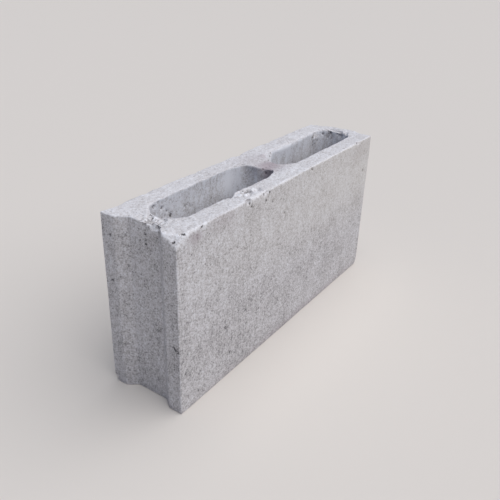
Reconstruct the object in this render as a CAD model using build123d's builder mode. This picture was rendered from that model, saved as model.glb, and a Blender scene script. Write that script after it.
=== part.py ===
from build123d import *
import os

# Hollow concrete block, standing on its bed face. All sizes are in millimetres.
# X runs from the grooved end to the tongued end, Y across the block and Z up.
# The origin is on the floor, under the middle of the overall length and width.

# Outside of the block
length = 390.0  # between the flanges of the two ends
width = 90.0
height = 190.0

# Vertical groove down one end, and the tongue on the other end that enters it
groove_depth = 8.0
groove_mouth = 57.0  # width of the groove at the end face
groove_floor = 37.0  # width of its flat floor, between the bevels
joint_clearance = 0.5  # left between a tongue and the groove that it enters

# The two long cores, open from bed to bed
face_shell = 22.0  # wall between a core and a long face, at the top
end_wall = 18.0  # wall behind the groove's floor and behind the tongue's face
web = 28.0  # cross wall between the cores, at the top
core_end_flat = 4.0  # flat middle of a core's rounded end
core_draft = 0.4  # degrees, each core narrows downwards by this on every side

# The cross wall's top sags below the bed face where the core bar crossed it
web_dip = 6.0

# Edges as they leave the mould
corner_round = 2.0  # vertical arrises and the bevels' corners
top_round = 2.0  # edges of the upper bed, the worn one
bottom_round = 1.0  # edges of the lower bed

tongue_reach = groove_depth - joint_clearance
tongue_root = groove_mouth - 2 * joint_clearance
tongue_face = groove_floor - 2 * joint_clearance

groove_end_x = -(length + tongue_reach) / 2
flange_end_x = groove_end_x + length
tongue_end_x = flange_end_x + tongue_reach

first_core_x = groove_end_x + groove_depth + end_wall
last_core_x = tongue_end_x - end_wall
core_width = width - 2 * face_shell
core_corner = (core_width - core_end_flat) / 2
core_length = (last_core_x - first_core_x - web) / 2
web_x = (first_core_x + last_core_x) / 2


def end_points(flange_x, middle_x, mouth, middle):
    """Corners across one end, from +Y to -Y: flange, bevel, middle, bevel, flange."""
    return [
        (flange_x, width / 2),
        (flange_x, mouth / 2),
        (middle_x, middle / 2),
        (middle_x, -middle / 2),
        (flange_x, -mouth / 2),
        (flange_x, -width / 2),
    ]


grooved_end = end_points(groove_end_x, groove_end_x + groove_depth, groove_mouth, groove_floor)
tongued_end = end_points(flange_end_x, tongue_end_x, tongue_root, tongue_face)

with BuildPart() as concrete_block:
    # The plan outline, the same at every height
    with BuildSketch() as plan:
        with BuildLine():
            Polyline(grooved_end + tongued_end[::-1], close=True)
        make_face()
        fillet(plan.vertices(), corner_round)
    extrude(amount=height)

    # The cores are drawn at the upper bed and narrow towards the lower one
    with BuildSketch(Plane.XY.offset(height)):
        with Locations((web_x, 0)):
            with GridLocations(core_length + web, 0, 2, 1):
                RectangleRounded(core_length, core_width, core_corner)
    extrude(amount=-height, taper=core_draft, mode=Mode.SUBTRACT)

    # Each bed has one outer edge loop and one around each core
    upper_bed = concrete_block.faces().sort_by(Axis.Z)[-1]
    fillet(upper_bed.edges(), top_round)
    lower_bed = concrete_block.faces().sort_by(Axis.Z)[0]
    fillet(lower_bed.edges(), bottom_round)

    # A round trough from core to core leaves the cross wall's top hollow across the block
    half_trough = core_width / 2
    trough_radius = (half_trough**2 + web_dip**2) / (2 * web_dip)
    with BuildSketch(Plane.YZ.offset(web_x)):
        with Locations((0, height - web_dip + trough_radius)):
            Circle(trough_radius)
    extrude(amount=web / 2 + core_corner, both=True, mode=Mode.SUBTRACT)

concrete_block.part.label = "concrete_block"

os.makedirs("parts", exist_ok=True)
export_step(concrete_block.part, "parts/concrete_block.step")
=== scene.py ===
import math

import bpy
import numpy as np
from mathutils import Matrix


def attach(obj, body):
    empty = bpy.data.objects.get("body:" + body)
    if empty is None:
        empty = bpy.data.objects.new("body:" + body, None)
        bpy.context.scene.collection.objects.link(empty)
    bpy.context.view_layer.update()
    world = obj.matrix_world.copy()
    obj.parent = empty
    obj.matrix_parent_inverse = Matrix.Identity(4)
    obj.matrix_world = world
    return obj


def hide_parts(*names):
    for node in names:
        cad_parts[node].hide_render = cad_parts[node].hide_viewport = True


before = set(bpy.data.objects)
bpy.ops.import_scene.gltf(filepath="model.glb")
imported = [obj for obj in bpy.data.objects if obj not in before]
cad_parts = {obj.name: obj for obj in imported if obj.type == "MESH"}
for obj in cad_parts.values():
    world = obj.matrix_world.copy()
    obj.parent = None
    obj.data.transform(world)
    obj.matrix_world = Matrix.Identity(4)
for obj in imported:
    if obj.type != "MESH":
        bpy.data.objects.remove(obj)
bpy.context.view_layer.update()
print("frame loaded")

# Sizes are in millimetres until the mesh is made. X runs from the grooved end to the tongued end.
block = {
    "length": 390.0,  # between the flanges of the two ends
    "width": 90.0,
    "height": 190.0,
    "grooveDepth": 8.0,
    "grooveMouth": 57.0,  # width of the groove at the end face
    "grooveFloor": 37.0,  # width of its flat floor
    "clearance": 0.5,  # between a tongue and the groove that it enters
    "faceShell": 22.0,  # wall between a core and a long face
    "endWall": 18.0,
    "web": 28.0,  # cross wall between the cores
    "coreEndFlat": 4.0,  # flat middle of a core's rounded end
    "coreDraft": math.tan(math.radians(0.4)),  # the cores narrow downwards
    "mouldedRound": 2.0,  # edges as moulded, apart from the lower bed's
    "mouldedLowerRound": 1.0,
}

height = block["height"]
halfWidth = block["width"] / 2
tongueReach = block["grooveDepth"] - block["clearance"]
groovedX = -(block["length"] + tongueReach) / 2
flangeX = groovedX + block["length"]
tonguedX = flangeX + tongueReach
grooveHalf = (block["grooveMouth"] / 2, block["grooveFloor"] / 2)
tongueHalf = (grooveHalf[0] - block["clearance"], grooveHalf[1] - block["clearance"])
coreHalfWidth = halfWidth - block["faceShell"]
coreCorner = coreHalfWidth - block["coreEndFlat"] / 2
coreStart = groovedX + block["grooveDepth"] + block["endWall"]
coreStop = tonguedX - block["endWall"]
coreHalfLength = (coreStop - coreStart - block["web"]) / 4
webX = (coreStart + coreStop) / 2
coreOffset = coreHalfLength + block["web"] / 2  # from the middle of the web to the middle of a core


# Large odd numbers that set neighbouring grid points far apart, and the largest number of 32 bits
spreaders = (374761393, 668265263, 2147483647, 1274126177)
allBits = 0xFFFFFFFF


def gridValue(i, j, k, seed):
    # A number from 0 to 1 for each whole-numbered grid point: its bits multiplied and folded.
    forI, forJ, forK, forSeed = spreaders
    mixed = (i * forI + j * forJ + k * forK + seed * forSeed) & allBits
    mixed = ((mixed ^ (mixed >> 13)) * forSeed) & allBits
    return (mixed ^ (mixed >> 16)) / allBits


def softNoise(points, size, seed):
    # Grid values blended between the eight corners of each cell with 3t^2 - 2t^3, from -1 to 1.
    scaled = points / size
    cell = np.floor(scaled).astype(np.int64)
    share = scaled - cell
    share = share * share * (3 - 2 * share)
    total = np.zeros(len(points))
    for corner in range(8):
        step = np.array([corner & 1, corner >> 1 & 1, corner >> 2 & 1])
        weight = np.prod(np.where(step, share, 1 - share), axis=1)
        at = cell + step
        total += weight * gridValue(at[:, 0], at[:, 1], at[:, 2], seed)
    return total * 2 - 1


def layeredNoise(points, size, seed, layers=3):
    # Soft noise at halving sizes and heights, added up.
    total = np.zeros(len(points))
    for layer in range(layers):
        total += softNoise(points, size / 2**layer, seed + layer) / 2**layer
    return total


def nearestGrain(points, size, seed):
    # One grain centre in each grid cell. Gives the distance to the nearest one in cells, and its own number.
    scaled = points / size
    cell = np.floor(scaled).astype(np.int64)
    nearest = np.full(len(points), np.inf)
    own = np.zeros(len(points))
    for neighbour in range(27):
        at = cell + np.array([neighbour % 3 - 1, neighbour // 3 % 3 - 1, neighbour // 9 - 1])
        i, j, k = at[:, 0], at[:, 1], at[:, 2]
        centre = at + np.stack([gridValue(i, j, k, seed + n) for n in (0, 1, 2)], axis=1)
        away = np.linalg.norm(scaled - centre, axis=1)
        closer = away < nearest
        nearest = np.where(closer, away, nearest)
        own = np.where(closer, gridValue(i, j, k, seed + 3), own)
    return nearest, own


def smoothStep(low, high, value):
    # 0 at low and 1 at high, and 3t^2 - 2t^3 between them.
    share = np.clip((value - low) / (high - low), 0, 1)
    return share * share * (3 - 2 * share)


def roundMax(a, b, radius):
    # The larger of two distances, with a quarter circle where they meet.
    corner = np.hypot(np.maximum(a + radius, 0), np.maximum(b + radius, 0))
    return np.minimum(-radius, np.maximum(a, b)) + corner


def crowded(start, stop, count, crowds, fineSteps=4000):
    # Values from start to stop, closer together near each crowd: equal shares of the density added up.
    fine = np.linspace(start, stop, fineSteps)
    density = np.ones(len(fine))
    for place, pull, reach in crowds:
        density += pull * np.exp(-(((fine - place) / reach) ** 2))
    total = np.concatenate([[0], np.cumsum((density[1:] + density[:-1]) / 2)])
    return np.interp(np.linspace(0, total[-1], count), total, fine)


def alongLine(corners, travel, soften, softenTurn, step=0.05):
    # Points of a polyline at each travel, averaged over a bell-shaped window to soften its corners, and the
    # directions to its left, averaged over a wider window so that lines drawn inwards from it never cross.
    corners = np.array(corners, float)
    reach = np.concatenate([[0], np.cumsum(np.linalg.norm(np.diff(corners, axis=0), axis=1))])
    first = corners[0] - (corners[1] - corners[0])
    last = corners[-1] + (corners[-1] - corners[-2])
    corners = np.vstack([first, corners, last])
    reach = np.concatenate([[-reach[1]], reach, [2 * reach[-1] - reach[-2]]])
    window = np.linspace(-2.5, 2.5, 21)  # in widths of the bell
    weight = np.exp(-(window**2) / 2)
    weight /= weight.sum()

    def place(at, width):
        spread = at[:, None] + window * width
        return np.stack([np.interp(spread, reach, corners[:, axis]) @ weight for axis in (0, 1)], axis=1)

    ahead = place(travel + step, softenTurn) - place(travel - step, softenTurn)
    ahead /= np.linalg.norm(ahead, axis=1)[:, None]
    return place(travel, soften), np.stack([-ahead[:, 1], ahead[:, 0]], axis=1)


# How the surface is divided, from the edge of the core over the bed and down the outside
grid = {
    "nearColumns": (158, 110, 96, 48),  # along the long face, round the end, back again, and over the web
    "farColumns": (92, 80, 104, 48),
    "coreWallRows": 28,
    "mouthRows": 5,
    "bedRows": 26,
    "arrisRows": 7,
    "outsideRows": 63,
    "lowerBedRows": 6,
    "lowerArrisRows": 3,
    "mouthRound": 3.0,  # roundings of the starting shape, before wear
    "arrisRound": 3.0,
    "lowerRound": 1.5,
    "cornerSoften": 1.2,  # how far a corner of the plan and its direction are softened
    "turnSoften": 5.0,
    "cornerCrowd": (1.4, 4.0),  # how much closer the columns or rows are at a place, and how far from it
    "coreWallCrowd": (9.0, 30.0),
    "bedCrowd": (0.8, 0.2),
    "upperCrowd": (2.0, 18.0),
    "lowerCrowd": (1.0, 8.0),
}


def halfColumns(grooved):
    # One half of the block in plan, clockwise from above: matching points on its outside and on its core,
    # each with the direction that leaves the concrete.
    sign = -1.0 if grooved else 1.0
    endX, deep = (groovedX, groovedX + block["grooveDepth"]) if grooved else (flangeX, tonguedX)
    mouth, flat = grooveHalf if grooved else tongueHalf
    counts = grid["nearColumns"] if grooved else grid["farColumns"]
    run = abs(endX - webX)
    start, stop = sign * halfWidth, -sign * halfWidth
    corners = [(webX, start), (endX, start), (endX, sign * mouth), (deep, sign * flat)]
    corners += [(deep, -sign * flat), (endX, -sign * mouth), (endX, stop), (webX, stop)]
    bevel = math.hypot(deep - endX, mouth - flat)
    rim = halfWidth - mouth
    across = 2 * rim + 2 * bevel + 2 * flat
    kinks = [run, run + rim, run + rim + bevel]
    kinks += [2 * run + across - kink for kink in kinks]
    crowds = [(kink, *grid["cornerCrowd"]) for kink in kinks]
    first = crowded(0, run, counts[0], crowds)
    end = crowded(run, run + across, counts[1], crowds)[1:]
    back = crowded(run + across, 2 * run + across, counts[2], crowds)[1:]
    travel = np.concatenate([first, end, back])
    outer, outward = alongLine(corners, travel, grid["cornerSoften"], grid["turnSoften"])
    middleY = np.linspace(stop, start, counts[3] + 2)[1:-1]
    middle = np.stack([np.full(counts[3], webX), middleY], axis=1)
    outer = np.vstack([outer, middle])
    outward = np.vstack([outward, np.stack([np.zeros(counts[3]), middleY / halfWidth], axis=1)])

    # the core's rounded oblong, in four parts from the middle of one corner to the middle of the next
    shares = [first / run, (end - run) / across]
    shares += [(back - run - across) / run, (stop - middleY) / (stop - start)]
    core = []
    for part, share in enumerate(shares):
        angle = np.radians((135.0 if sign > 0 else -45.0) - 90.0 * part - np.linspace(0.01, 89.99, 400))
        side = np.stack([np.sign(np.cos(angle)), np.sign(np.sin(angle))], axis=1)
        turned = np.stack([np.cos(angle), np.sin(angle)], axis=1)
        loop = side * (np.array([coreHalfLength, coreHalfWidth]) - coreCorner) + turned * coreCorner
        went = np.concatenate([[0], np.cumsum(np.linalg.norm(np.diff(loop, axis=0), axis=1))])
        went /= went[-1]
        core.append(np.stack([np.interp(share, went, column) for column in (*loop.T, *turned.T)], axis=1))
    core = np.vstack(core)
    core[:, 0] += webX + sign * coreOffset
    return outer, outward, core[:, :2], core[:, 2:], counts[3]


def sectionRows():
    # The rows of a section through the wall, as the weights of: core point, outer point, core direction,
    # outer direction and height. The last number is 1 on the outside, which the cross wall hasn't got.
    rows = []
    turn = np.radians(90)
    mouth, arris, lower = grid["mouthRound"], grid["arrisRound"], grid["lowerRound"]
    draft = block["coreDraft"]

    def add(coreShare, outerShare, coreOut, outerOut, z, outside=0):
        columns = np.broadcast_arrays(coreShare, outerShare, coreOut, outerOut, z, outside)
        rows.append(np.stack(columns, axis=1))

    z = crowded(lower, height - mouth, grid["coreWallRows"], [(height, *grid["coreWallCrowd"])])
    add(1, 0, -(height - z) * draft, 0, z)
    a = np.linspace(0, turn, grid["mouthRows"] + 2)[1:-1]
    add(1, 0, mouth * (1 - np.cos(a)), 0, height - mouth * (1 - np.sin(a)))
    w = crowded(0, 1, grid["bedRows"], [(0, *grid["bedCrowd"]), (1, *grid["bedCrowd"])])
    add(1 - w, w, (1 - w) * mouth, -w * arris, height)
    a = np.linspace(turn, 0, grid["arrisRows"] + 2)[1:-1]
    add(0, 1, 0, -arris * (1 - np.cos(a)), height - arris * (1 - np.sin(a)), 1)
    crowds = [(height, *grid["upperCrowd"]), (0, *grid["lowerCrowd"])]
    z = crowded(height - arris, lower, grid["outsideRows"], crowds)
    add(0, 1, 0, 0, z, 1)
    a = np.linspace(0, turn, grid["lowerArrisRows"] + 2)[1:-1]
    add(0, 1, 0, -lower * (1 - np.cos(a)), lower * (1 - np.sin(a)), 1)
    w = np.linspace(1, 0, grid["lowerBedRows"])
    add(1 - w, w, (1 - w) * (lower - height * draft), -w * lower, 0)
    a = np.linspace(turn, 0, 3)[1:-1]
    add(1, 0, lower * (1 - np.cos(a)) - height * draft, 0, lower * (1 - np.sin(a)))
    return np.vstack(rows)


def halfSurface(grooved):
    # The section carried round the core: every row's weights times every column's points and directions.
    outer, outward, core, coreOut, overWeb = halfColumns(grooved)
    rows = sectionRows()
    xy = np.einsum("v,uc->vuc", rows[:, 0], core) + np.einsum("v,uc->vuc", rows[:, 1], outer)
    xy += np.einsum("v,uc->vuc", rows[:, 2], coreOut) + np.einsum("v,uc->vuc", rows[:, 3], outward)
    count = len(outer)
    points = np.concatenate([xy, np.repeat(rows[:, 4], count).reshape(len(rows), count, 1)], axis=2)
    v, u = np.meshgrid(np.arange(len(rows)), np.arange(count), indexing="ij")
    nextV, nextU = (v + 1) % len(rows), (u + 1) % count
    corners = [v * count + nextU, nextV * count + nextU, nextV * count + u, v * count + u]
    quads = np.stack(corners, axis=2)
    overMiddle = u >= count - overWeb - 1  # these columns meet the other half
    outside = (rows[v, 5] == 1) | (rows[nextV, 5] == 1)
    return points.reshape(-1, 3), quads[~(overMiddle & outside)]


def wholeSurface():
    # Both halves, joined where their points are the same.
    near, far = halfSurface(True), halfSurface(False)
    points = np.vstack([near[0], far[0]])
    quads = np.vstack([near[1], far[1] + len(near[0])])
    used = np.unique(quads)
    _, first, same = np.unique(np.round(points[used], 4), axis=0, return_index=True, return_inverse=True)
    renumber = np.zeros(len(points), np.int64)
    renumber[used] = same.ravel()
    return points[used][first], renumber[quads]


startPoints, quads = wholeSurface()
print("block surface:", len(startPoints), "points,", len(quads) * 2, "triangles")


# Wear and damage. Roundings are given as the usual one and how much it varies slowly and quickly.
wear = {
    "arrisRadius": (1.3, 0.4, 0.6),  # upper outer edges
    "arrisLimits": (1.1, 7.0),
    "mouthRadius": (1.9, 0.7),  # upper edges of the cores
    "mouthLimits": (1.4, 7.0),
    "cornerRadius": (1.4, 0.3),  # vertical corners
    "cornerWorn": (14.0, 3.0),  # a corner gets rounder between these two depths below the bed
    "lowerRadius": 1.2,
    "breakRadius": 3.0,  # edges of a flat break
    "breakRagged": 0.7,
    "knockedRadius": 1.4,  # edges of the places knocked off
    "bedSag": 0.25,  # how uneven the upper bed is
    "ragged": 1.1,  # how far the outlines of broken, stony and stained places wander
    "stonyRagged": 2.0,
    "stainRagged": 1.5,
    "hollowVary": 0.25,  # how uneven the hollow of the cross wall is
    "slowSize": 26.0,  # sizes of the noises behind all this
    "quickSize": 9.0,
    "raggedSize": 7.0,
    "evenShare": 0.35,  # how far each point goes towards the average of its neighbours
}

# In most of the lists below a row is a place (x, y, z), its reach along each axis, and how much.

# stretches of the upper outer edge that are rounder than the rest
wornArrises = np.array([
    (-180, -45, 190, 22, 16, 20, 2.4),
    (-120, -45, 190, 22, 20, 20, 1.6),
    (-72, -45, 190, 26, 20, 20, 3.2),
    (-22, -45, 190, 16, 20, 20, 1.4),
    (60, -45, 190, 40, 20, 20, 1),
    (150, -45, 190, 34, 20, 20, 1.8),
    (-191, -14, 190, 8, 9, 20, 0.8),
    (-178, 45, 190, 10, 10, 20, 2),
    (-66, 45, 190, 10, 10, 20, 1.8),
    (-20, 45, 190, 12, 10, 20, 2),
    (14, 45, 190, 10, 10, 20, 4),
    (75, 45, 190, 14, 10, 20, 1.8),
    (195, 4, 190, 20, 40, 20, 1.8),
])

# stretches of the cores' upper edges that are rounder than the rest
wornMouths = np.array([
    (-164, 16, 190, 14, 13, 20, 2.2),
    (-176, -4, 190, 8, 10, 20, 2),
    (-96, -23, 190, 7, 8, 20, 2.2),
    (176, 4, 190, 12, 18, 20, 1.6),
    (80, 23, 190, 62, 10, 20, 3.6),
])

# pieces knocked off, each an ellipsoid: its middle and its three half sizes
brokenPlaces = np.array([
    (-192, -11, 190, 5.2, 9, 6.5),
    (-183, -3, 193.8, 6, 8, 5),
    (-177, -8, 193.8, 6, 7, 5),
    (-95, -25, 191, 6, 4.5, 4),
    (-88, -29, 191.8, 5, 4, 3.6),
    (-75, -30, 192, 5, 3.5, 4),
    (-80, -36, 192.8, 8, 4, 3.8),
    (-64, -36, 192.5, 6, 6, 3.6),
    (-92, -46, 190, 5, 4, 4),
    (-60, -46, 190, 7, 4, 4.5),
    (-180, 46, 192, 5, 3, 5),
    (12, 46, 192, 6, 4.5, 6),
    (-66, 46, 192, 4, 3, 4),
    (74, 46, 192, 5, 3, 4.5),
    (184, 8, 193, 6, 7, 5),
    (182, -1, 192.4, 5, 4, 4.5),
    (178, -13, 192.6, 5, 4, 4.5),
    (150, -46, 192, 6, 4, 5),
    (110, 46, 192, 5, 3, 4),
    (-140, 46, 192, 4, 3, 4),
    (193, 41, 191.5, 5, 5, 4.5),
    (60, 46, 2, 6, 3, 4),
    (-120, 46, -1, 7, 3, 4),
    (192, -44, 1, 4, 4, 5),
    (-199, 44, 0, 4, 5, 6),
])

# the corner that is broken away flat, as a point on the break and the way it faces
flatBreaks = [((-198.75, -45.0, 179.0), (-0.553, -0.461, 0.692))]

# the cross wall's top is a little hollow
webHollows = np.array([
    (4, -6, 190, 14, 14, 99, 1.8),
])

# concrete left standing on the walls of the cores
fillings = np.array([
    (33, 19, 190, 14, 12, 38, 12),
    (96, 23, 190, 62, 9, 20, 2.6),
    (159, 21, 180, 10, 8, 8, 4.5),
    (-78, -23, 188, 9, 6, 6, 3.6),
    (-166, 15, 190, 9, 9, 30, 2.6),
])

# where the wall of a core is cut back
cutBack = np.array([
    (-11, 12, 188, 9, 9, 40, 3.4),
    (-8, -12, 190, 18, 10, 44, 9.5),
    (-95, -24, 190, 6, 6, 12, 1.6),
])

# small deep holes: place, radius, depth
pits = np.array([
    (-196.2, -40, 184.7, 1.2, 1.9),
    (-188.6, -40.4, 188.6, 0.8, 1.2),
    (-187.2, -41.6, 188.5, 0.9, 1.5),
    (-185.9, -42.6, 188, 1.1, 1.9),
    (-197.8, -45, 184.3, 0.8, 0.8),
    (-163.5, -44, 187.4, 1.1, 1.6),
    (-91, -44.6, 187.2, 1.3, 1.8),
    (-88, -45, 181, 1.1, 1.2),
    (-64.5, -45, 186.5, 1.3, 1.6),
    (-62, -45, 179.5, 1.1, 1.2),
    (-54.5, -45, 186, 1.2, 1.5),
    (-49, -45, 174.5, 2.2, 0.9),
    (-75.4, -29, 188, 1.5, 2),
    (-181.2, 9.2, 188.5, 1.1, 1.4),
    (-178.9, -0.6, 188.5, 1.2, 1.6),
    (-178.4, -4.8, 188.5, 1.3, 1.8),
    (-175, 5, 189, 1, 1.4),
    (-171.5, 0.5, 189, 1.1, 1.5),
    (-175.5, -13.5, 189, 1.1, 1.4),
    (-183.2, 1.3, 188.5, 1.2, 1.4),
    (-171.9, -9.6, 188.5, 1.2, 1.4),
    (-188.5, 4.6, 189, 1.2, 1.4),
    (-186.8, -0.9, 188.5, 1.5, 2.2),
    (-180.9, -11.8, 188.5, 1.4, 1.8),
    (-188.8, -8, 188.5, 1.2, 1.4),
    (-190.8, -2.4, 188, 1, 1.2),
    (-190.6, -19.4, 188.2, 1.4, 2),
    (-190.8, -19.4, 184.6, 1, 1),
    (-190.8, -1.6, 184.5, 0.8, 0.8),
    (-190.8, -2.2, 181.4, 0.8, 0.9),
    (-190.8, -2.6, 178.6, 1.1, 1.3),
    (-190.8, -1.8, 172.6, 1.1, 1.4),
    (-190.8, -1.5, 167.6, 1, 1.3),
    (-152.3, 21, 184.4, 1.5, 1.6),
    (-146, 22.6, 187, 1.1, 1),
    (-140.9, 22.6, 179, 1.4, 1.6),
    (-134, 22.8, 174.6, 1.3, 1.4),
    (-128.5, 22.8, 168.4, 1.5, 2),
    (-137, 22.7, 170.6, 1.1, 1),
    (-107.2, 22.7, 170, 1.2, 1.2),
    (-103, 22.7, 172, 1, 0.9),
    (-99.4, 22.7, 168.6, 1.2, 1.2),
    (-7, -4.5, 188, 1.2, 1.4),
    (-6, -7.5, 183, 1.3, 1.6),
    (-1, -11, 180, 1.4, 1.8),
    (1.5, -2.5, 190, 1, 1.2),
    (14, 8, 190, 1.1, 1.2),
    (49.4, 17, 188.8, 1.4, 1.8),
    (44, 13.6, 188.8, 1.2, 1.6),
    (37.5, 9.2, 188.8, 1.4, 1.8),
    (174, 17, 184, 1.4, 1.5),
    (180.5, 8.9, 186, 1.3, 1.5),
    (180, 13, 180, 1.2, 1.3),
    (180.8, 0.5, 186, 1.1, 1.3),
    (179.8, -5.5, 184, 1, 1.2),
    (178.4, -11, 186.5, 1.1, 1.3),
    (165, 21.5, 176, 2, 1.4),
    (156, 22.8, 171, 1.2, 1.4),
    (184, 6, 189.5, 1.2, 1.4),
    (183, 12, 189.5, 1.2, 1.4),
    (-190.8, 4.6, 170.4, 1, 0.8),
    (-198.8, 34.6, 169.5, 1.6, 1),
    (-190.8, 21, 141.1, 1.2, 1),
    (-190.8, 17.1, 132.9, 1.6, 1),
    (-198.8, 35.5, 122.7, 1.3, 1.6),
    (-190.8, -10.8, 149.9, 1.5, 0.8),
    (-190.8, -14, 149.6, 1.3, 0.6),
    (-190.8, -9.6, 115.2, 1.2, 1),
    (-190.8, 31, 53.1, 1.8, 0.5),
    (-190.8, 25, 47, 1.8, 0.5),
    (-190.8, 19.8, 43.5, 1.6, 0.5),
    (-71, -45, 151.1, 1, 0.8),
    (-109.3, -45, 147.2, 1.3, 0.8),
    (-160.2, -45, 149.5, 1.1, 0.6),
    (-97.1, -45, 114.8, 1.2, 0.8),
    (176, -45, 145.6, 2.2, 1),
    (31.9, -45, 187.2, 1.6, 1.4),
    (-23.7, -45, 153, 1.3, 0.9),
    (-22, -45, 148, 1.1, 0.7),
    (-169, -45, 118, 1.1, 0.7),
    (-173.3, -45, 106.1, 1, 0.6),
    (-143, -45, 87.3, 1.1, 0.7),
    (-128.9, -45, 71, 1.4, 0.8),
    (-127.9, -45, 61.5, 1.6, 1),
    (-93.8, -45, 65.3, 1.2, 0.7),
    (-62.1, -45, 58.6, 1.3, 0.7),
    (-90.8, -45, 47, 1.3, 0.8),
    (-120.3, -45, 29.1, 1.6, 0.9),
    (-186.5, -45, 64.5, 1.3, 0.8),
    (-189.9, -45, 45.7, 1.4, 0.8),
])

# thin cracks under a lip, as short strokes: two ends, radius, depth
cracks = np.array([
    (-198.8, -31.5, 77, -198.8, -36.5, 75.6, 0.9, 0.7),
    (-198.8, -36.5, 75.6, -198.8, -42.5, 72.4, 1.1, 1),
    (-190.8, -8, 81, -190.8, -12, 79.6, 0.7, 0.5),
    (-190.8, -12, 79.6, -190.8, -16, 82, 0.7, 0.5),
    (158.5, 22, 188, 150.5, 22.8, 181, 1.1, 1),
])

# where loose, stony concrete shows
stonyPlaces = np.array([
    (-183, -4, 190, 10, 15, 10, 1),
    (-82, -30, 190, 16, 7, 5, 1),
    (-60, -45, 186, 9, 4, 6, 0.8),
    (-5, -13, 176, 10, 8, 9, 0.45),
    (40, 14, 180, 14, 12, 12, 0.48),
    (160, 21, 180, 12, 8, 10, 0.8),
    (178, 8, 184, 8, 12, 12, 0.55),
    (181, -5, 186, 7, 10, 8, 0.8),
    (6, -4, 190, 11, 9, 6, 0.5),
])


def knocked(p):
    # How far into the nearest knocked-off piece every point is: 1 at its middle, 0 at its surface.
    deepest = np.full(len(p), -np.inf)
    for place in brokenPlaces:
        deepest = np.maximum(deepest, 1 - np.linalg.norm((p - place[:3]) / place[3:6], axis=1))
    return deepest


def bells(p, places):
    # A bell over each place, the height its last number gives, and the highest of them at every point.
    highest = np.zeros(len(p))
    for place in places:
        away = np.sum(((p - place[:3]) / place[3:6]) ** 2, axis=1)
        highest = np.maximum(highest, place[6] * np.exp(-away))
    return highest


def drawnIn(p, places):
    # Points near each place moved closer to it, half way at its middle, so that small holes have enough.
    for x, y, z, radius, _ in places:
        away = p - (x, y, z)
        distance = np.linalg.norm(away, axis=1)
        p = p - away * (0.5 * smoothStep(radius * 5, radius * 0.5, distance))[:, None]
    return p


def innerCore(p):
    # Distance outside the nearer core, an oblong with rounded corners that narrows with depth.
    narrowing = (height - p[:, 2]) * block["coreDraft"]
    x = np.abs(np.abs(p[:, 0] - webX) - coreOffset) - (coreHalfLength - coreCorner)
    y = np.abs(p[:, 1]) - (coreHalfWidth - coreCorner)
    outside = np.hypot(np.maximum(x, 0), np.maximum(y, 0))
    return outside + np.minimum(np.maximum(x, y), 0) - (coreCorner - narrowing)


def softRamp(value, run, reach=2.0):
    # Rises from 0 to run, with a parabola over both its bends that reaches this far to each side.
    def bend(a):
        return np.maximum(a, 0) + np.maximum(reach - np.abs(a), 0) ** 2 / (4 * reach)

    return bend(value) - bend(value - run)


def outerPlan(p, radius):
    # Distance outside the block in plan: long faces, the grooved end and the tongued end.
    across = np.abs(p[:, 1])
    bevel = grooveHalf[0] - grooveHalf[1]
    inward = softRamp(grooveHalf[0] - across, bevel) * block["grooveDepth"] / bevel
    outward = softRamp(tongueHalf[0] - across, bevel) * tongueReach / bevel
    ends = np.maximum(groovedX + inward - p[:, 0], p[:, 0] - flangeX - outward)
    return roundMax(across - halfWidth, ends, radius)


def blockField(p, wander, worn):
    # Distance outside the block, negative inside: the walls, beds and cores joined by rounded corners. With
    # worn set to False it is the block as it was moulded.
    if not worn:
        edge = block["mouldedRound"]
        whole = roundMax(outerPlan(p, edge), p[:, 2] - height, edge)
        whole = roundMax(whole, -p[:, 2], block["mouldedLowerRound"])
        return roundMax(whole, -innerCore(p), edge)
    moved = p + wander["far"] * wear["ragged"]
    usual, slowly, quickly = wear["arrisRadius"]
    arris = usual + bells(moved, wornArrises) + slowly * wander["low"] + quickly * wander["mid"]
    arris = np.clip(arris, *wear["arrisLimits"])
    usual, quickly = wear["mouthRadius"]
    mouth = np.clip(usual + bells(moved, wornMouths) + quickly * wander["mid"], *wear["mouthLimits"])
    usual, slowly = wear["cornerRadius"]
    corner = usual + slowly * wander["low"]
    deep, shallow = wear["cornerWorn"]
    corner += np.maximum(arris - corner, 0) * smoothStep(height - deep, height - shallow, p[:, 2])
    scoop = bells(moved * (1, 1, 0) + (0, 0, height), webHollows)
    scoop *= 1 + wear["hollowVary"] * wander["mid"]
    sag = wear["bedSag"] * (1 + wander["low"]) / 2 + scoop
    whole = roundMax(outerPlan(p, corner), p[:, 2] - height + sag, arris)
    whole = roundMax(whole, -p[:, 2], wear["lowerRadius"])
    whole = roundMax(whole, bells(moved, cutBack) - innerCore(p) - bells(moved, fillings), mouth)
    for point, facing in flatBreaks:
        beyond = (p - point) @ np.array(facing) + wear["breakRagged"] * wander["mid"]
        whole = roundMax(whole, beyond, wear["breakRadius"])
    for place in brokenPlaces:
        lost = (1 - np.linalg.norm((moved - place[:3]) / place[3:6], axis=1)) * place[3:6].min()
        whole = roundMax(whole, lost, wear["knockedRadius"])
    return whole


def fieldSlope(p, wander, step=0.2):
    # The field's value and its steepest direction: how much it grows over a small step along each axis.
    value = blockField(p, wander, True)
    grown = [blockField(p + along * step, wander, True) - value for along in np.eye(3)]
    return value, np.stack(grown, axis=1) / step


def settle(points, wander, rounds=7, leastSlope=0.25, longest=2.5):
    # Moves each point along the slope onto the worn block: by the field's value over the slope, a few times
    # over, and never further at once than the longest step.
    for _ in range(rounds):
        value, slope = fieldSlope(points, wander)
        step = slope * (value / np.maximum(np.sum(slope**2, axis=1), leastSlope))[:, None]
        length = np.linalg.norm(step, axis=1)[:, None]
        points = points - step * np.minimum(1, longest / np.maximum(length, 1e-9))
    return points


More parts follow.
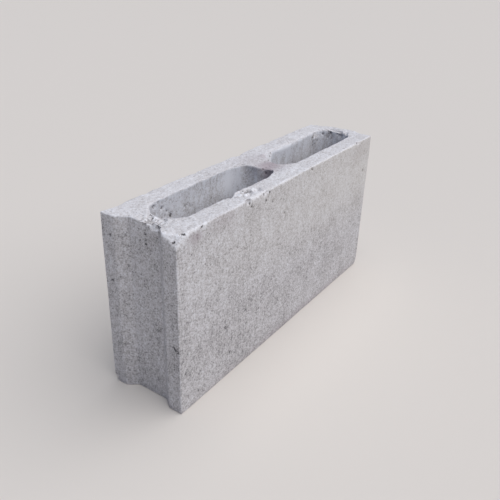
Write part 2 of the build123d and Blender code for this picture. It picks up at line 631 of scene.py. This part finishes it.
def pointNormals(points, quads):
    # Each point's facing, from the crossed diagonals of the quads around it.
    crossed = np.cross(points[quads[:, 2]] - points[quads[:, 0]], points[quads[:, 3]] - points[quads[:, 1]])
    total = np.zeros_like(points)
    for axis in range(3):
        for corner in range(4):
            total[:, axis] += np.bincount(quads[:, corner], crossed[:, axis], len(points))
    return total / np.maximum(np.linalg.norm(total, axis=1), 1e-9)[:, None]


def evenOut(points, quads, share):
    # Each point a part of the way to the average of its neighbours.
    pairs = np.vstack([quads[:, [n, (n + 1) % 4]] for n in range(4)])
    count = np.bincount(pairs[:, 0], minlength=len(points))
    totals = [np.bincount(pairs[:, 0], points[pairs[:, 1], axis], len(points)) for axis in range(3)]
    return points + (np.stack(totals, axis=1) / count[:, None] - points) * share


def facingAround(points, quads):
    # The facing around each quad: its points' normals, evened out and averaged.
    return evenOut(pointNormals(points, quads), quads, 0.7)[quads].mean(axis=1)


def turnedBack(points, quads, facing, rounds=60, upright=0.25):
    # A quad with a corner that leans over against the facing around it has its points moved half way to the
    # average of their neighbours, and the points of the quads beside it a quarter, until none leans over.
    for _ in range(rounds):
        leans = np.zeros(len(quads), bool)
        for n in range(4):
            here, after, before = (points[quads[:, (n + step) % 4]] for step in (0, 1, 3))
            crossed = np.cross(after - here, before - here)
            leans |= np.sum(crossed * facing, axis=1) < upright * np.linalg.norm(crossed, axis=1)
        if not leans.any():
            break
        share = np.zeros((len(points), 1))
        share[quads[leans].ravel()] = 0.5
        beside = quads[share[quads].max(axis=(1, 2)) > 0].ravel()
        share[beside] = np.maximum(share[beside], 0.25)
        points = evenOut(points, quads, share)
    print("leaning quads left:", np.count_nonzero(leans))
    return points


startPoints = drawnIn(startPoints, pits)
far = [layeredNoise(startPoints, wear["raggedSize"], seed, 2) for seed in (31, 41, 51)]
wander = {
    "low": layeredNoise(startPoints, wear["slowSize"], 11),
    "mid": layeredNoise(startPoints, wear["quickSize"], 21, 2),
    "far": np.stack(far, axis=1),
}
points = settle(startPoints, wander)
for _ in range(2):
    points = settle(evenOut(points, quads, wear["evenShare"]), wander, 3)
points = turnedBack(points, quads, facingAround(points, quads))
normals = pointNormals(points, quads)
pitCentres = np.zeros((len(pits), 3))  # below the surface, half as deep as the hole
for number, pit in enumerate(pits):
    nearest = np.argmin(np.linalg.norm(points - pit[:3], axis=1))
    pit[:3] = points[nearest]
    pitCentres[number] = points[nearest] - normals[nearest] * pit[4] / 2
for stroke in cracks:
    for end in (slice(0, 3), slice(3, 6)):
        stroke[end] = points[np.argmin(np.linalg.norm(points - stroke[end], axis=1))]
print("block worn, furthest move:", np.linalg.norm(points - startPoints, axis=1).max().round(2), "mm")


# The finish of each surface in millimetres: size, then height. Noise less its usual top stays below it.
relief = {
    "noiseTop": 0.8,
    "bedGrain": (2.4, 0.16),
    "bedStones": (4.0, 0.40),
    "brokenGrain": (2.2, 0.40),
    "brokenStones": (4.8, 1.4),
    "faceWave": (38.0, 0.22),
    "faceGrain": (3.0, 0.07),
    "coreScore": (6.0, 0.35),  # upright marks that the core bar leaves
    "pitSlope": (1.5, 0.4),  # where a hole begins and where it is full depth, in radii
    "crackSlope": (1.6, 0.4),
}


def domes(points, size, seed):
    # Round stones side by side: a half ball over each grain centre, 1 at its top and 0 in the gaps.
    nearest, own = nearestGrain(points, size, seed)
    radius = 0.45 + 0.35 * own  # in cells
    return np.sqrt(np.maximum(0, 1 - (nearest / radius) ** 2))


def strokeDistance(p, stroke):
    # Distance to a straight stroke from its first end to its second.
    start, along = stroke[:3], stroke[3:6] - stroke[:3]
    share = np.clip((p - start) @ along / (along @ along), 0, 1)
    return np.linalg.norm(p - start - share[:, None] * along, axis=1)


# Where each finish or mark begins, and where it is full
spreads = {
    "bedFacing": (0.35, 0.8),
    "bedHeight": (150, 176),
    "stony": (0.25, 0.65),
    "knocked": (-0.15, 0.1),
    "coreSide": (2.5, 0.5),
    "outermost": (42.0, 43.5),
    "longSide": (0.5, 0.9),
    # the cores' walls lose half their painted light going down between these heights: painted shade
    "coreWallShade": (150, 182),
    "upperSide": (60, 150),
    "worn": (0.4, 2.4),
    "arris": (0.12, 0.42),
    "gapDirtAndShade": (0.2, 0.9),
    "paste": (0.28, 0.08),
}


def spread(name, value):
    return smoothStep(*spreads[name], value)


# Where each finish is, from 0 to 1. Bed is what faces up near the top, and lost is how deep the wear is.
lost = np.maximum(-blockField(points, wander, False), 0)
bed = spread("bedFacing", normals[:, 2]) * spread("bedHeight", points[:, 2])
stony = spread("stony", bells(points + wander["far"] * wear["stonyRagged"], stonyPlaces))
broken = np.maximum(stony, spread("knocked", knocked(points + wander["far"] * wear["ragged"])))
coreSide = spread("coreSide", innerCore(points)) * (1 - bed)
drawnOut = points * (1, 1, 0.05)  # noise taken from these places makes upright marks

bedGaps = 1 - domes(points, relief["bedStones"][0], 61)
brokenGaps = 1 - domes(points, relief["brokenStones"][0], 81)
raised = -bed * relief["bedStones"][1] * bedGaps
noise = layeredNoise(points, relief["bedGrain"][0], 71, 2) - relief["noiseTop"]
raised += bed * relief["bedGrain"][1] * noise
raised -= broken * relief["brokenStones"][1] * brokenGaps
noise = layeredNoise(points, relief["brokenGrain"][0], 91, 2) - relief["noiseTop"]
raised += broken * relief["brokenGrain"][1] * noise
noise = 0.5 + 0.5 * softNoise(points, relief["faceWave"][0], 101)
raised -= (1 - bed) * relief["faceWave"][1] * noise
noise = 1 + softNoise(points, relief["faceGrain"][0], 111)
raised -= (1 - bed) * relief["faceGrain"][1] * noise
noise = 0.5 + 0.5 * layeredNoise(drawnOut, relief["coreScore"][0], 121, 2)
raised -= coreSide * relief["coreScore"][1] * noise
begins, full = relief["pitSlope"]
for x, y, z, radius, deep in pits:
    away = np.linalg.norm(points - (x, y, z), axis=1)
    raised -= deep * smoothStep(radius * begins, radius * full, away)
begins, full = relief["crackSlope"]
for stroke in cracks:
    radius, deep = stroke[6:]
    raised -= deep * smoothStep(radius * begins, radius * full, strokeDistance(points, stroke))
points = turnedBack(points + normals * raised[:, None], quads, facingAround(points, quads))
points = np.clip(points, (groovedX, -halfWidth, 0.0), (tonguedX, halfWidth, height))
print("surface roughened, deepest:", (-raised.min()).round(2), "mm")

# brown stains, as soft patches: place, three radii, strength
stains = np.array([
    (-5, -12, 181, 11, 10, 13, 1.4),
    (6, -4, 190, 16, 13, 9, 1.6),
    (28, 17, 190, 9, 8, 9, 0.8),
    (12, 20, 190, 24, 16, 9, 0.40),
    (-173, -45, 181, 8, 4, 5, 0.8),
    (-132, -45, 183, 18, 4, 8, 0.35),
    (160, -45, 178, 30, 4, 14, 0.25),
    (40, -45, 3, 190, 6, 5, 0.45),
    (-199, 0, 2, 6, 46, 5, 0.35),
])
# patches of painted light on the cores' walls, lifting the shade inside the cores
coreWallLight = np.array([
    (-24, 20, 174, 16, 9, 20, 1.5),
    (-10, 8, 174, 9, 13, 20, 1.5),
    (66, 20, 184, 40, 12, 14, 1.3),
    (36, 10, 184, 16, 12, 16, 0.7),
])
# knocked places where pale paste shows
paleSpots = np.array([
    (-160, -44.6, 187, 2.8, 2.2, 2.8, 1.6),
    (-172.5, -44.6, 187.6, 2.2, 2, 2, 1.5),
    (-183.6, -44.6, 186.6, 1.8, 2, 2.4, 1.6),
    (-197.8, -29.5, 188.6, 2.4, 2.6, 2.6, 1.5),
    (-189, -44.8, 182, 4.5, 2, 4, 0.8),
    (-84, -38, 187, 5, 4, 3, 0.7),
    (-137.7, -45, 166.4, 2, 2, 5, 0.5),
    (128, -45, 159.3, 5, 2, 4, 0.5),
])


# Worn edges face between two axes: the product of both parts of their facing is large.
mouthMargin = 4.0  # the edges nearer to a core than this don't count
across = np.abs(normals[:, 1])
level = np.hypot(normals[:, 0], normals[:, 1])
outermost = spread("outermost", np.abs(points[:, 1]))
arrises = np.abs(normals[:, 0]) * across * outermost
arrises = np.maximum(arrises, np.abs(normals[:, 2]) * level * (innerCore(points) > mouthMargin))
# The long sides get painted warm light, as on a sunlit face: a warmer, paler tint towards the top, and more
# so towards the tongued end.
longSide = spread("longSide", across) * outermost
along = (points[:, 0] - groovedX) / block["length"]
warmLightBelow, warmLightAbove = 0.45 * along - 0.3, 0.9 * along + 0.4
bedGapShare = 0.35  # how deep the bed's gaps look against those of a broken place
marks = {
    "bed": bed,
    "broken": broken,
    # The cores' walls are painted lighter, standing in for the light that fills the cores: half as much
    # lower down, which is painted shade, and more on some patches.
    "coreSide": coreSide * (0.5 + 0.5 * spread("coreWallShade", points[:, 2]) + bells(points, coreWallLight)),
    "worn": np.maximum(spread("worn", lost), spread("arris", arrises)) * (1 - broken),
    # painted shade in the gaps between stones, with some dirt
    "gapDirtAndShade": np.maximum(broken * spread("gapDirtAndShade", brokenGaps), bed * bedGapShare * bedGaps),
    "stain": bells(points + wander["far"] * wear["stainRagged"], stains),
    "pale": np.maximum(bells(points, paleSpots), broken * spread("paste", brokenGaps)),
    "paintedWarmLight": longSide * (warmLightBelow + warmLightAbove * spread("upperSide", points[:, 2])),
}


def makeMesh(name, points, quads, marks):
    mesh = bpy.data.meshes.new(name)
    mesh.vertices.add(len(points))
    mesh.vertices.foreach_set("co", (points / 1000).astype(np.float32).ravel())
    mesh.loops.add(quads.size)
    mesh.loops.foreach_set("vertex_index", quads.astype(np.int32).ravel())
    mesh.polygons.add(len(quads))
    mesh.polygons.foreach_set("loop_start", np.arange(0, quads.size, 4, dtype=np.int32))
    mesh.polygons.foreach_set("use_smooth", np.ones(len(quads), bool))
    mesh.update(calc_edges=True)
    for mark, values in marks.items():
        layer = mesh.attributes.new(mark, "FLOAT", "POINT")
        layer.data.foreach_set("value", values.astype(np.float32))
    made = bpy.data.objects.new(name, mesh)
    bpy.context.scene.collection.objects.link(made)
    return made


blockPiece = makeMesh("hollowBlock", points, quads, marks)
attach(blockPiece, "root")
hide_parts("concrete_block")
print("block mesh made")


def node(tree, kind, values=None, **settings):
    # One node, its settings, and its inputs: a value is set and another node's output is linked.
    made = tree.nodes.new("ShaderNode" + kind)
    for name, setting in settings.items():
        setattr(made, name, setting)
    for socket, value in (values or {}).items():
        if isinstance(value, bpy.types.NodeSocket):
            tree.links.new(value, made.inputs[socket])
        else:
            made.inputs[socket].default_value = value
    return made


def sums(tree, operation, a, b, c=0.0, clamp=False):
    return node(tree, "Math", {0: a, 1: b, 2: c}, operation=operation, use_clamp=clamp).outputs[0]


def vectors(tree, operation, a, b):
    # Scale takes a number for b and the others a place. Distance and dot product give a number.
    values = {0: a, "Scale": b} if operation == "SCALE" else {0: a, 1: b}
    outputs = node(tree, "VectorMath", values, operation=operation).outputs
    return outputs["Value"] if operation in ("DISTANCE", "DOT_PRODUCT") else outputs[0]


def pushes(tree, spot, grains, reach):
    # Noise around zero along each axis, to push places about with.
    values = {"Vector": spot, "Scale": grains, "Detail": 2.0}
    cloud = node(tree, "TexNoise", values).outputs["Color"]
    return vectors(tree, "SCALE", vectors(tree, "SUBTRACT", cloud, (0.5, 0.5, 0.5)), reach)


def ranged(tree, value, low, high, toLow=0.0, toHigh=1.0):
    values = {"Value": value, "From Min": low, "From Max": high, "To Min": toLow, "To Max": toHigh}
    return node(tree, "MapRange", values, interpolation_type="SMOOTHSTEP").outputs[0]


def blended(tree, share, a, b):
    return node(tree, "Mix", {0: share, 6: a, 7: b}, data_type="RGBA").outputs[2]


def groupTree(name, inputs, outputs):
    # A group that is given a place and some numbers, and gives numbers.
    tree = bpy.data.node_groups.new(name, "ShaderNodeTree")
    tree.interface.new_socket("Place", in_out="INPUT", socket_type="NodeSocketVector")
    for label in inputs:
        tree.interface.new_socket(label, in_out="INPUT", socket_type="NodeSocketFloat")
    for label in outputs:
        tree.interface.new_socket(label, in_out="OUTPUT", socket_type="NodeSocketFloat")
    return tree, tree.nodes.new("NodeGroupInput"), tree.nodes.new("NodeGroupOutput")


sandGrain = {
    "given": ("Grains", "Hole Size", "Hole Share"),
    "gives": ("Height", "Holes", "Pale"),
    "noise": {"Detail": 4.0, "Roughness": 0.65},
    "pushFiner": 2.3,  # than the grains
    "pushReach": 0.9,  # in grains
    "holeSlope": (-0.04, 0.12),
    "paleCells": (0.80, 0.95),
    "paleMiddle": (0.42, 0.22),
}


def grainGroup():
    # Sand grains and the holes between them, for a given number of grains to the metre. The places are
    # pushed about by noise, so that no hole is round. Hole Share is how many of the cells have one.
    tree, given, gives = groupTree("sandGrain", sandGrain["given"], sandGrain["gives"])
    spot, grains = given.outputs["Place"], given.outputs["Grains"]
    values = {"Vector": spot, "Scale": grains, **sandGrain["noise"]}
    cloud = node(tree, "TexNoise", values)
    finer = sums(tree, "MULTIPLY", grains, sandGrain["pushFiner"])
    push = pushes(tree, spot, finer, sandGrain["pushReach"])
    pushed = vectors(tree, "ADD", vectors(tree, "SCALE", spot, grains), push)
    cells = node(tree, "TexVoronoi", {"Vector": pushed, "Scale": 1.0, "Randomness": 1.0})
    own = node(tree, "SeparateColor", {"Color": cells.outputs["Color"]})
    chosen = sums(tree, "SUBTRACT", own.outputs[0], sums(tree, "SUBTRACT", 1.0, given.outputs["Hole Share"]))
    chosen = sums(tree, "DIVIDE", chosen, given.outputs["Hole Share"], clamp=True)
    edge = sums(tree, "MULTIPLY", chosen, given.outputs["Hole Size"])
    hole = sums(tree, "SUBTRACT", edge, cells.outputs["Distance"])
    tree.links.new(ranged(tree, hole, *sandGrain["holeSlope"]), gives.inputs["Holes"])
    paleCell = ranged(tree, own.outputs[1], *sandGrain["paleCells"])
    paleMiddle = ranged(tree, cells.outputs["Distance"], *sandGrain["paleMiddle"])
    tree.links.new(sums(tree, "MULTIPLY", paleCell, paleMiddle), gives.inputs["Pale"])
    tree.links.new(cloud.outputs["Fac"], gives.inputs["Height"])
    return tree


pitLook = {
    "pushGrains": 650.0,  # to the metre
    "pushReach": 0.0035,
    "rimMargin": 0.3,
    "bottomShare": 0.2,  # of the radius
    "pitShade": 0.52,  # for each millimetre of depth
    "crackShade": 0.6,
    "crackSlope": (1.3, 0.4),  # in radii
    "crackUnder": 0.0006,  # how far below its stroke the bottom of a crack lies
}


def pitGroup():
    # Painted shade in the small deep holes and the cracks, darkest at the bottom: the distance to a hole's
    # middle or to a crack's stroke, with the place pushed about by noise, so that none is round or straight.
    tree, given, gives = groupTree("pits", (), ("Pit Shade",))
    spot = given.outputs["Place"]
    push = pushes(tree, spot, pitLook["pushGrains"], pitLook["pushReach"])
    pushed = vectors(tree, "ADD", spot, push)
    total = None
    for centre, (radius, deep) in zip(pitCentres, pits[:, 3:]):
        away = vectors(tree, "DISTANCE", pushed, tuple(centre / 1000))
        rim = math.hypot(radius, deep / 2) + pitLook["rimMargin"]
        bottom = deep / 2 + radius * pitLook["bottomShare"]
        pit = ranged(tree, away, rim / 1000, bottom / 1000, 0.0, min(1.0, deep * pitLook["pitShade"]))
        total = pit if total is None else sums(tree, "MAXIMUM", total, pit)
    for stroke in cracks / 1000:
        start, run, radius, deep = stroke[:3], stroke[3:6] - stroke[:3], stroke[6], stroke[7] * 1000
        away = vectors(tree, "SUBTRACT", pushed, tuple(start))
        share = vectors(tree, "DOT_PRODUCT", away, tuple(run / (run @ run)))
        share = sums(tree, "MULTIPLY", share, 1.0, clamp=True)
        off = vectors(tree, "DISTANCE", away, vectors(tree, "SCALE", tuple(run), share))
        slope = [radius * share + pitLook["crackUnder"] for share in pitLook["crackSlope"]]
        crack = ranged(tree, off, *slope, 0.0, deep * pitLook["crackShade"])
        total = sums(tree, "MAXIMUM", total, crack)
    tree.links.new(total, gives.inputs["Pit Shade"])
    return tree


# The concrete's colours, its grains and clouds, and its fine relief in millimetres
concrete = {
    "dark": (0.110, 0.107, 0.112, 1),
    "usual": (0.566, 0.548, 0.562, 1),
    "paleSand": (0.810, 0.820, 0.870, 1),
    "brown": (0.340, 0.280, 0.310, 1),
    # the warm tint of painted light on the long sides
    "paintedWarmLight": (0.640, 0.600, 0.510, 1),
    "brownShare": 0.75,  # how far these two colours cover the others
    "paintedWarmLightShare": 0.22,
    "fine": (620.0, 0.62, 0.34),  # grains to the metre, largest hole, share of the cells with a hole
    "coarse": (250.0, 0.36, 0.13),
    "mottle": ((26.0, 26.0, 26.0), 5.0, 0.8),  # clouds to the metre along each axis, detail, roughness
    "streaks": ((260.0, 260.0, 11.0), 3.0, 0.5),
    "patches": ((120.0, 120.0, 30.0), 4.0, 0.6),
    "cloudRange": (0.3, 0.7),  # what nearly all of a cloud lies between
    "fineRange": (0.25, 0.75),
    "brownRange": (0.2, 0.6, 0.35, 1.0),
    "grainTone": 0.58,
    "coarseTone": 0.23,
    "bedContrast": 0.75,  # the bed's grain against the sides'
    "grainHeight": 0.20,
    "coarseHeight": (0.20, 0.35),  # everywhere, and more where it is rough
    "coarseHole": 0.45,
    "fineHole": 0.18,
    "gloss": (0.2, 0.8, 0.94, 0.84),  # heights of the grain, and the roughness there
    "specular": 0.3,
}

# How much each mask adds to the tone, which is 0 for dark, 0.5 for usual and 1 for pale sand
tones = {
    "mottle": 0.19,
    "streaks": 0.06,
    "upper": 0.06,  # how much lighter the top is than the bottom
    "patches": 0.20,
    "bed": 0.22,
    # painted light on the cores' walls
    "coreSide": 0.30,
    "worn": 0.13,
    # painted warm light on the long sides
    "paintedWarmLight": 0.10,
    "pale": 0.30,
    "paleGrain": 0.10,
    # painted shade, with some dirt, in the gaps between stones
    "gapDirtAndShade": -0.34,
    "fineHoles": -0.133,
    "coarseHoles": -0.19,
    # painted shade in the small deep holes and the cracks
    "pits": -0.74,
}


def concreteMaterial():
    made = bpy.data.materials.new("pressedConcrete")
    made.use_nodes = True
    tree = made.node_tree
    tree.nodes.clear()
    spot = node(tree, "TexCoord").outputs["Object"]
    grain = grainGroup()

    def plus(mask, share, to):
        return sums(tree, "MULTIPLY_ADD", mask, share, to)

    def grains(size):
        values = dict(zip(sandGrain["given"], concrete[size]))
        return node(tree, "Group", {"Place": spot, **values}, node_tree=grain).outputs

    def cloud(name):
        stretch, detail, roughness = concrete[name]
        stretched = node(tree, "Mapping", {"Vector": spot, "Scale": stretch}).outputs[0]
        values = {"Vector": stretched, "Scale": 1.0, "Detail": detail, "Roughness": roughness}
        return node(tree, "TexNoise", values).outputs["Fac"]

    masks = {}
    for name in marks:
        mark = node(tree, "Attribute", attribute_name=name, attribute_type="GEOMETRY")
        masks[name] = mark.outputs["Fac"]
    fine, coarse = grains("fine"), grains("coarse")
    masks["paleGrain"] = fine["Pale"]
    masks["fineHoles"] = fine["Holes"]
    masks["coarseHoles"] = coarse["Holes"]
    masks["pits"] = node(tree, "Group", {"Place": spot}, node_tree=pitGroup()).outputs["Pit Shade"]
    usual = concrete["cloudRange"]
    mottle = cloud("mottle")
    masks["mottle"] = ranged(tree, mottle, *usual)
    masks["streaks"] = ranged(tree, cloud("streaks"), *usual)
    patches = ranged(tree, cloud("patches"), *usual, -1.0, 1.0)
    masks["patches"] = sums(tree, "MULTIPLY", masks["coreSide"], patches)
    up = node(tree, "SeparateXYZ", {"Vector": spot}).outputs["Z"]
    masks["upper"] = ranged(tree, up, 0.0, height / 1000)

    tone = ranged(tree, fine["Height"], *concrete["fineRange"], -0.5, 0.5)
    tone = sums(tree, "MULTIPLY", tone, concrete["grainTone"])
    tone = plus(ranged(tree, coarse["Height"], *usual, -0.5, 0.5), concrete["coarseTone"], tone)
    contrast = ranged(tree, masks["bed"], 0.0, 1.0, 1.0, concrete["bedContrast"])
    # half of what these masks add comes off again, so that they leave the middle tone as it was
    middle = 0.5 - (tones["mottle"] + tones["streaks"] + tones["upper"]) / 2
    tone = plus(tone, contrast, middle)
    for name, share in tones.items():
        tone = plus(masks[name], share, tone)
    ramp = node(tree, "ValToRGB", {"Fac": tone})
    stops = ramp.color_ramp.elements
    stops[0].color = concrete["dark"]
    stops[1].color = concrete["paleSand"]
    stops.new(0.5).color = concrete["usual"]
    paintedWarmLightShare = sums(tree, "MULTIPLY", masks["paintedWarmLight"], concrete["paintedWarmLightShare"], clamp=True)
    colour = blended(tree, paintedWarmLightShare, ramp.outputs["Color"], concrete["paintedWarmLight"])
    brown = ranged(tree, mottle, *concrete["brownRange"])
    brown = sums(tree, "MULTIPLY", masks["stain"], brown, clamp=True)
    brown = sums(tree, "MULTIPLY", brown, concrete["brownShare"])
    colour = blended(tree, brown, colour, concrete["brown"])

    everywhere, more = concrete["coarseHeight"]
    rougher = plus(sums(tree, "MAXIMUM", masks["bed"], masks["broken"]), more, everywhere)
    high = sums(tree, "MULTIPLY", fine["Height"], concrete["grainHeight"])
    high = plus(coarse["Height"], rougher, high)
    high = plus(coarse["Holes"], -concrete["coarseHole"], high)
    high = plus(fine["Holes"], -concrete["fineHole"], high)
    bump = node(tree, "Bump", {"Height": high, "Distance": 0.001, "Strength": 1.0})
    roughness = ranged(tree, fine["Height"], *concrete["gloss"])
    skin = node(tree, "BsdfPrincipled", {
        "Base Color": colour,
        "Roughness": roughness,
        "Specular IOR Level": concrete["specular"],
        "Normal": bump.outputs[0],
    })
    node(tree, "OutputMaterial", {"Surface": skin.outputs[0]})
    return made


blockPiece.data.materials.append(concreteMaterial())
print("concrete finished")

# Floor, light and camera
stage = {
    "floorHalf": 30.0,
    "floorSkin": {"Base Color": (0.70, 0.665, 0.63, 1), "Roughness": 0.95, "Specular IOR Level": 0.1},
    "skyColour": (0.62, 0.88, 1.38, 1),
    "skyStrength": 0.13,
    "backColour": (0.70, 0.665, 0.63, 1),
    "sunStrength": 3.0,
    "sunColour": (1.0, 0.97, 0.94),
    "sunSpread": 90.0,  # degrees across, like a wide soft box
    "sunFrom": (0.18, -0.44, 1.0),
    "cameraPlace": (-0.5203, -0.3311, 0.4005),
    "cameraTurn": (62.795, -1.68, -55.586),
    "lens": 41.87,
    "sensorWidth": 36.0,
    "clipStart": 0.01,
}


def makeFloor():
    half = stage["floorHalf"]
    mesh = bpy.data.meshes.new("floor")
    corners = [(-half, -half, 0), (half, -half, 0), (half, half, 0), (-half, half, 0)]
    mesh.from_pydata(corners, [], [(0, 1, 2, 3)])
    floor = bpy.data.objects.new("floor", mesh)
    bpy.context.scene.collection.objects.link(floor)
    made = bpy.data.materials.new("paleFloor")
    made.use_nodes = True
    skin = made.node_tree.nodes["Principled BSDF"]
    for socket, value in stage["floorSkin"].items():
        skin.inputs[socket].default_value = value
    mesh.materials.append(made)


def makeLight():
    world = bpy.data.worlds.new("studio")
    bpy.context.scene.world = world
    world.use_nodes = True
    tree = world.node_tree
    tree.nodes.clear()
    sky = node(tree, "Background", {"Color": stage["skyColour"], "Strength": stage["skyStrength"]})
    back = node(tree, "Background", {"Color": stage["backColour"], "Strength": 1.0})
    path = node(tree, "LightPath")
    mix = node(tree, "MixShader", {0: path.outputs["Is Camera Ray"], 1: sky.outputs[0], 2: back.outputs[0]})
    node(tree, "OutputWorld", {"Surface": mix.outputs[0]})
    lamp = bpy.data.lights.new("sun", "SUN")
    lamp.energy = stage["sunStrength"]
    lamp.color = stage["sunColour"]
    lamp.angle = math.radians(stage["sunSpread"])
    sun = bpy.data.objects.new("sun", lamp)
    x, y, up = stage["sunFrom"]
    sun.rotation_euler = (math.atan2(math.hypot(x, y), up), 0.0, math.atan2(x, -y))
    bpy.context.scene.collection.objects.link(sun)


def makeCamera():
    lens = bpy.data.cameras.new("camera")
    lens.lens = stage["lens"]
    lens.sensor_width = stage["sensorWidth"]
    lens.clip_start = stage["clipStart"]
    camera = bpy.data.objects.new("camera", lens)
    camera.location = stage["cameraPlace"]
    camera.rotation_euler = [math.radians(angle) for angle in stage["cameraTurn"]]
    bpy.context.scene.collection.objects.link(camera)
    bpy.context.scene.camera = camera


makeFloor()
makeLight()
makeCamera()
bpy.context.scene.view_settings.view_transform = "Standard"
print("floor, light and camera placed")
